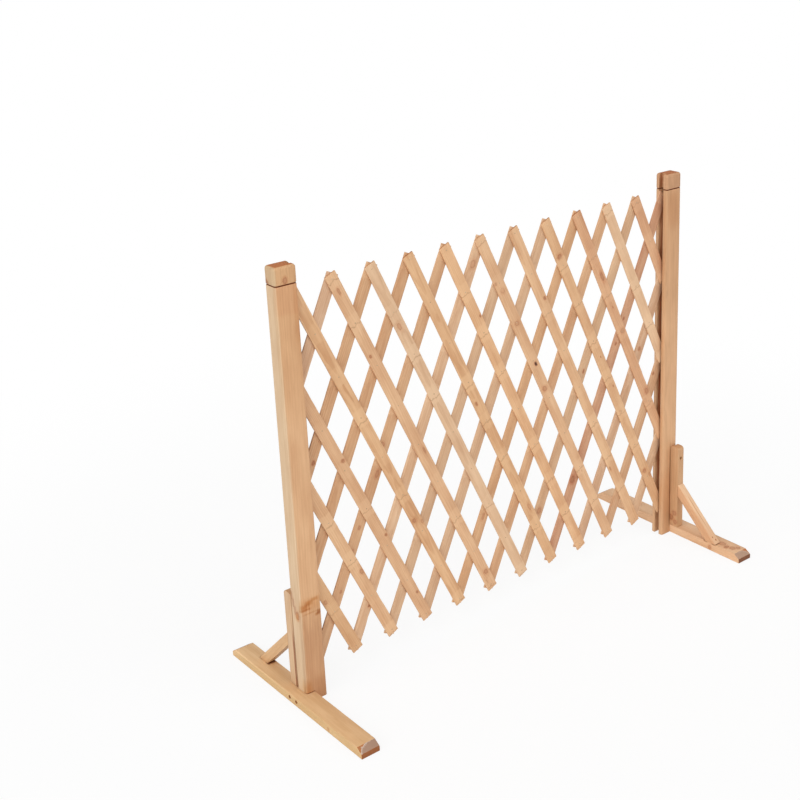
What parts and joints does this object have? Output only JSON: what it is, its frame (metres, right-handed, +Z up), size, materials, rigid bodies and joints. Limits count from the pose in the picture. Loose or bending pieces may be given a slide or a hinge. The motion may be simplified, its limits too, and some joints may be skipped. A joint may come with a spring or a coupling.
{
  "type": "expandable fence",
  "caption": "Expandable wooden lattice fence: crossed slats riveted into diamonds that fold like a scissor between two channel posts on braced cross feet.",
  "frame": {"origin": "on the floor, midway between the two posts", "axes": "+X along the fence from the near post to the far post, +Y towards the back layer of slats, +Z up"},
  "size_m": [1.1822, 0.5, 0.954],
  "materials": {
    "post_wood": "planed pale fir, smooth, unvarnished",
    "foot_wood": "planed pale fir, smooth, unvarnished",
    "front_slat_wood": "thin sawn fir slats, lightly sanded",
    "back_slat_wood": "thin sawn fir slats, lightly sanded",
    "steel": "bright wire, dulled",
    "yellow_zinc": "yellow zinc plating"
  },
  "bodies": {
    "near_post": {"near_post": "post_wood", "near_cap": "post_wood", "near_foot": "foot_wood", "near_upright": "foot_wood", "near_brace": "foot_wood", "near_foot_screw_1": "yellow_zinc", "near_foot_screw_2": "yellow_zinc", "near_upright_screw": "yellow_zinc", "near_upright_brad": "steel", "near_brace_top_brad": "steel", "near_brace_foot_brad": "steel", "near_pivot_pin": "steel"},
    "far_post": {"far_post": "post_wood", "far_cap": "post_wood", "far_foot": "foot_wood", "far_upright": "foot_wood", "far_brace": "foot_wood", "far_foot_screw_1": "yellow_zinc", "far_foot_screw_2": "yellow_zinc", "far_upright_screw": "yellow_zinc", "far_upright_brad": "steel", "far_brace_top_brad": "steel", "far_brace_foot_brad": "steel", "far_pivot_pin": "steel"},
    "front_slat_01": {"front_slat_01": "front_slat_wood"},
    "back_slat_01": {"back_slat_01": "back_slat_wood"},
    "front_slat_02": {"front_slat_02": "front_slat_wood"},
    "back_slat_02": {"back_slat_02": "back_slat_wood"},
    "front_slat_03": {"front_slat_03": "front_slat_wood"},
    "back_slat_03": {"back_slat_03": "back_slat_wood"},
    "front_slat_04": {"front_slat_04": "front_slat_wood"},
    "back_slat_04": {"back_slat_04": "back_slat_wood"},
    "front_slat_05": {"front_slat_05": "front_slat_wood"},
    "back_slat_05": {"back_slat_05": "back_slat_wood"},
    "front_slat_06": {"front_slat_06": "front_slat_wood"},
    "back_slat_06": {"back_slat_06": "back_slat_wood"},
    "front_slat_07": {"front_slat_07": "front_slat_wood"},
    "back_slat_07": {"back_slat_07": "back_slat_wood"},
    "front_slat_08": {"front_slat_08": "front_slat_wood"},
    "back_slat_08": {"back_slat_08": "back_slat_wood"},
    "front_slat_09": {"front_slat_09": "front_slat_wood"},
    "back_slat_09": {"back_slat_09": "back_slat_wood"},
    "front_slat_10": {"front_slat_10": "front_slat_wood"},
    "back_slat_10": {"back_slat_10": "back_slat_wood"},
    "front_slat_11": {"front_slat_11": "front_slat_wood"},
    "back_slat_11": {"back_slat_11": "back_slat_wood"},
    "front_slat_12": {"front_slat_12": "front_slat_wood"},
    "back_slat_12": {"back_slat_12": "back_slat_wood"},
    "front_slat_13": {"front_slat_13": "front_slat_wood"},
    "back_slat_13": {"back_slat_13": "back_slat_wood"},
    "front_slat_14": {"front_slat_14": "front_slat_wood"},
    "back_slat_14": {"back_slat_14": "back_slat_wood"}
  },
  "joints": [
    {"name": "fence_fold", "type": "hinge", "parent": "near_post", "child": "front_slat_04", "pos_m": [-0.52408, 0, 0.9], "axis": [0, 1, 0], "range_deg": [-20.25, 9.75]},
    {"name": "back_slat_01_pivot", "type": "hinge", "parent": "front_slat_04", "child": "back_slat_01", "pos_m": [-0.47643, 0, 0.79665], "axis": [0, 1, 0], "range_deg": [-19.5, 40.5]},
    {"name": "back_slat_02_pivot", "type": "hinge", "parent": "front_slat_04", "child": "back_slat_02", "pos_m": [-0.42879, 0, 0.69331], "axis": [0, 1, 0], "range_deg": [-19.5, 40.5]},
    {"name": "back_slat_03_pivot", "type": "hinge", "parent": "front_slat_04", "child": "back_slat_03", "pos_m": [-0.38115, 0, 0.58996], "axis": [0, 1, 0], "range_deg": [-19.5, 40.5]},
    {"name": "back_slat_04_pivot", "type": "hinge", "parent": "front_slat_04", "child": "back_slat_04", "pos_m": [-0.3335, 0, 0.48661], "axis": [0, 1, 0], "range_deg": [-19.5, 40.5]},
    {"name": "back_slat_05_pivot", "type": "hinge", "parent": "front_slat_04", "child": "back_slat_05", "pos_m": [-0.28586, 0, 0.38327], "axis": [0, 1, 0], "range_deg": [-19.5, 40.5]},
    {"name": "back_slat_06_pivot", "type": "hinge", "parent": "front_slat_04", "child": "back_slat_06", "pos_m": [-0.23822, 0, 0.27992], "axis": [0, 1, 0], "range_deg": [-19.5, 40.5]},
    {"name": "back_slat_07_pivot", "type": "hinge", "parent": "front_slat_04", "child": "back_slat_07", "pos_m": [-0.19057, 0, 0.17657], "axis": [0, 1, 0], "range_deg": [-19.5, 40.5]},
    {"name": "back_slat_08_pivot", "type": "hinge", "parent": "front_slat_04", "child": "back_slat_08", "pos_m": [-0.14293, 0, 0.07323], "axis": [0, 1, 0], "range_deg": [-19.5, 40.5]},
    {"name": "front_slat_05_pivot", "type": "hinge", "parent": "back_slat_08", "child": "front_slat_05", "pos_m": [-0.09529, 0, 0.17657], "axis": [0, 1, 0], "range_deg": [-40.5, 19.5]},
    {"name": "front_slat_06_pivot", "type": "hinge", "parent": "back_slat_08", "child": "front_slat_06", "pos_m": [-0.04764, 0, 0.27992], "axis": [0, 1, 0], "range_deg": [-40.5, 19.5]},
    {"name": "front_slat_07_pivot", "type": "hinge", "parent": "back_slat_08", "child": "front_slat_07", "pos_m": [0, 0, 0.38327], "axis": [0, 1, 0], "range_deg": [-40.5, 19.5]},
    {"name": "front_slat_08_pivot", "type": "hinge", "parent": "back_slat_08", "child": "front_slat_08", "pos_m": [0.04764, 0, 0.48661], "axis": [0, 1, 0], "range_deg": [-40.5, 19.5]},
    {"name": "front_slat_09_pivot", "type": "hinge", "parent": "back_slat_08", "child": "front_slat_09", "pos_m": [0.09529, 0, 0.58996], "axis": [0, 1, 0], "range_deg": [-40.5, 19.5]},
    {"name": "front_slat_10_pivot", "type": "hinge", "parent": "back_slat_08", "child": "front_slat_10", "pos_m": [0.14293, 0, 0.69331], "axis": [0, 1, 0], "range_deg": [-40.5, 19.5]},
    {"name": "front_slat_11_pivot", "type": "hinge", "parent": "back_slat_08", "child": "front_slat_11", "pos_m": [0.19057, 0, 0.79665], "axis": [0, 1, 0], "range_deg": [-40.5, 19.5]},
    {"name": "front_slat_12_pivot", "type": "hinge", "parent": "back_slat_08", "child": "front_slat_12", "pos_m": [0.23822, 0, 0.9], "axis": [0, 1, 0], "range_deg": [-40.5, 19.5]},
    {"name": "back_slat_09_pivot", "type": "hinge", "parent": "front_slat_12", "child": "back_slat_09", "pos_m": [0.28586, 0, 0.79665], "axis": [0, 1, 0], "range_deg": [-19.5, 40.5]},
    {"name": "back_slat_10_pivot", "type": "hinge", "parent": "front_slat_12", "child": "back_slat_10", "pos_m": [0.3335, 0, 0.69331], "axis": [0, 1, 0], "range_deg": [-19.5, 40.5]},
    {"name": "back_slat_11_pivot", "type": "hinge", "parent": "front_slat_12", "child": "back_slat_11", "pos_m": [0.38115, 0, 0.58996], "axis": [0, 1, 0], "range_deg": [-19.5, 40.5]},
    {"name": "back_slat_12_pivot", "type": "hinge", "parent": "front_slat_12", "child": "back_slat_12", "pos_m": [0.42879, 0, 0.48661], "axis": [0, 1, 0], "range_deg": [-19.5, 40.5]},
    {"name": "back_slat_13_pivot", "type": "hinge", "parent": "front_slat_12", "child": "back_slat_13", "pos_m": [0.47643, 0, 0.38327], "axis": [0, 1, 0], "range_deg": [-19.5, 40.5]},
    {"name": "back_slat_14_pivot", "type": "hinge", "parent": "front_slat_12", "child": "back_slat_14", "pos_m": [0.52408, 0, 0.27992], "axis": [0, 1, 0], "range_deg": [-19.5, 40.5]},
    {"name": "front_slat_03_pivot", "type": "hinge", "parent": "back_slat_04", "child": "front_slat_03", "pos_m": [-0.38115, 0, 0.38327], "axis": [0, 1, 0], "range_deg": [-40.5, 19.5]},
    {"name": "front_slat_02_pivot", "type": "hinge", "parent": "back_slat_04", "child": "front_slat_02", "pos_m": [-0.42879, 0, 0.27992], "axis": [0, 1, 0], "range_deg": [-40.5, 19.5]},
    {"name": "front_slat_01_pivot", "type": "hinge", "parent": "back_slat_04", "child": "front_slat_01", "pos_m": [-0.47643, 0, 0.17657], "axis": [0, 1, 0], "range_deg": [-40.5, 19.5]},
    {"name": "front_slat_13_pivot", "type": "hinge", "parent": "back_slat_11", "child": "front_slat_13", "pos_m": [0.42879, 0, 0.69331], "axis": [0, 1, 0], "range_deg": [-40.5, 19.5]},
    {"name": "front_slat_14_pivot", "type": "hinge", "parent": "back_slat_11", "child": "front_slat_14", "pos_m": [0.47643, 0, 0.79665], "axis": [0, 1, 0], "range_deg": [-40.5, 19.5]},
    {"name": "far_post_pivot", "type": "hinge", "parent": "back_slat_11", "child": "far_post", "pos_m": [0.52408, 0, 0.9], "axis": [0, 1, 0], "range_deg": [-20.25, 9.75]}
  ],
  "couplings": [
    {"joint": "back_slat_01_pivot", "follows": "fence_fold", "ratio": -2},
    {"joint": "back_slat_02_pivot", "follows": "fence_fold", "ratio": -2},
    {"joint": "back_slat_03_pivot", "follows": "fence_fold", "ratio": -2},
    {"joint": "back_slat_04_pivot", "follows": "fence_fold", "ratio": -2},
    {"joint": "back_slat_05_pivot", "follows": "fence_fold", "ratio": -2},
    {"joint": "back_slat_06_pivot", "follows": "fence_fold", "ratio": -2},
    {"joint": "back_slat_07_pivot", "follows": "fence_fold", "ratio": -2},
    {"joint": "back_slat_08_pivot", "follows": "fence_fold", "ratio": -2},
    {"joint": "front_slat_05_pivot", "follows": "fence_fold", "ratio": 2},
    {"joint": "front_slat_06_pivot", "follows": "fence_fold", "ratio": 2},
    {"joint": "front_slat_07_pivot", "follows": "fence_fold", "ratio": 2},
    {"joint": "front_slat_08_pivot", "follows": "fence_fold", "ratio": 2},
    {"joint": "front_slat_09_pivot", "follows": "fence_fold", "ratio": 2},
    {"joint": "front_slat_10_pivot", "follows": "fence_fold", "ratio": 2},
    {"joint": "front_slat_11_pivot", "follows": "fence_fold", "ratio": 2},
    {"joint": "front_slat_12_pivot", "follows": "fence_fold", "ratio": 2},
    {"joint": "back_slat_09_pivot", "follows": "fence_fold", "ratio": -2},
    {"joint": "back_slat_10_pivot", "follows": "fence_fold", "ratio": -2},
    {"joint": "back_slat_11_pivot", "follows": "fence_fold", "ratio": -2},
    {"joint": "back_slat_12_pivot", "follows": "fence_fold", "ratio": -2},
    {"joint": "back_slat_13_pivot", "follows": "fence_fold", "ratio": -2},
    {"joint": "back_slat_14_pivot", "follows": "fence_fold", "ratio": -2},
    {"joint": "front_slat_03_pivot", "follows": "fence_fold", "ratio": 2},
    {"joint": "front_slat_02_pivot", "follows": "fence_fold", "ratio": 2},
    {"joint": "front_slat_01_pivot", "follows": "fence_fold", "ratio": 2},
    {"joint": "front_slat_13_pivot", "follows": "fence_fold", "ratio": 2},
    {"joint": "front_slat_14_pivot", "follows": "fence_fold", "ratio": 2},
    {"joint": "far_post_pivot", "follows": "fence_fold", "ratio": 1}
  ]
}
